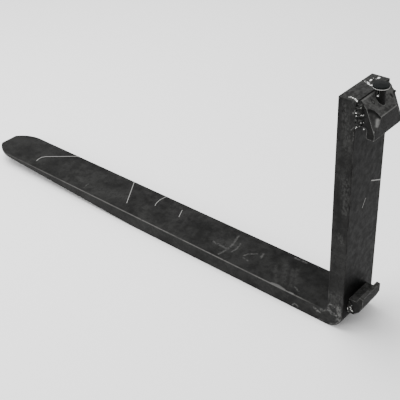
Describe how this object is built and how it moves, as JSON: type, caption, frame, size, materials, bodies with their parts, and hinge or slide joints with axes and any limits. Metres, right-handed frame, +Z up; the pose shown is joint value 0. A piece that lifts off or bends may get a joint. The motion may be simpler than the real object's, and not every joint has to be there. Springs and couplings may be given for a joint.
{
  "type": "forklift fork",
  "caption": "Hook-type forklift fork arm: tapered blade, upright shank, two welded carriage hooks and a spring-loaded lift-up lock pin.",
  "frame": {"origin": "foot of the carriage face: mid width, on the plane of the shank's rear face, at the level of the blade's underside", "axes": "+X across the arm, +Y away from the blade towards the carriage, +Z up the shank; the blade points along -Y"},
  "size_m": [0.115, 1.221, 0.5517],
  "materials": {
    "arm_paint": "worn satin black paint over forged steel",
    "hook_paint": "worn satin black paint over flame-cut steel",
    "weld": "painted weld bead, worn bright on its crests",
    "pin_steel": "turned",
    "spring_steel": "drawn wire",
    "knob_paint": "semi-gloss black with a worn rim"
  },
  "bodies": {
    "fork": {"fork_arm": "arm_paint", "top_hook": "hook_paint", "bottom_hook": "hook_paint", "top_hook_weld_near": "weld", "top_hook_weld_far": "weld", "bottom_hook_weld_near": "weld", "bottom_hook_weld_far": "weld", "bottom_hook_weld_under": "weld", "pin_sleeve": "hook_paint", "pin_spring": "spring_steel"},
    "latch": {"lock_pin": "pin_steel", "index_pin": "pin_steel", "pin_knob": "knob_paint"}
  },
  "joints": [
    {"name": "lock_pin_lift", "type": "slide", "parent": "fork", "child": "latch", "axis": [0, 0, 1], "range_m": [0, 0.01], "stiffness_N_per_m": 900, "springref_m": -0.006, "deforming": ["pin_spring"]}
  ]
}
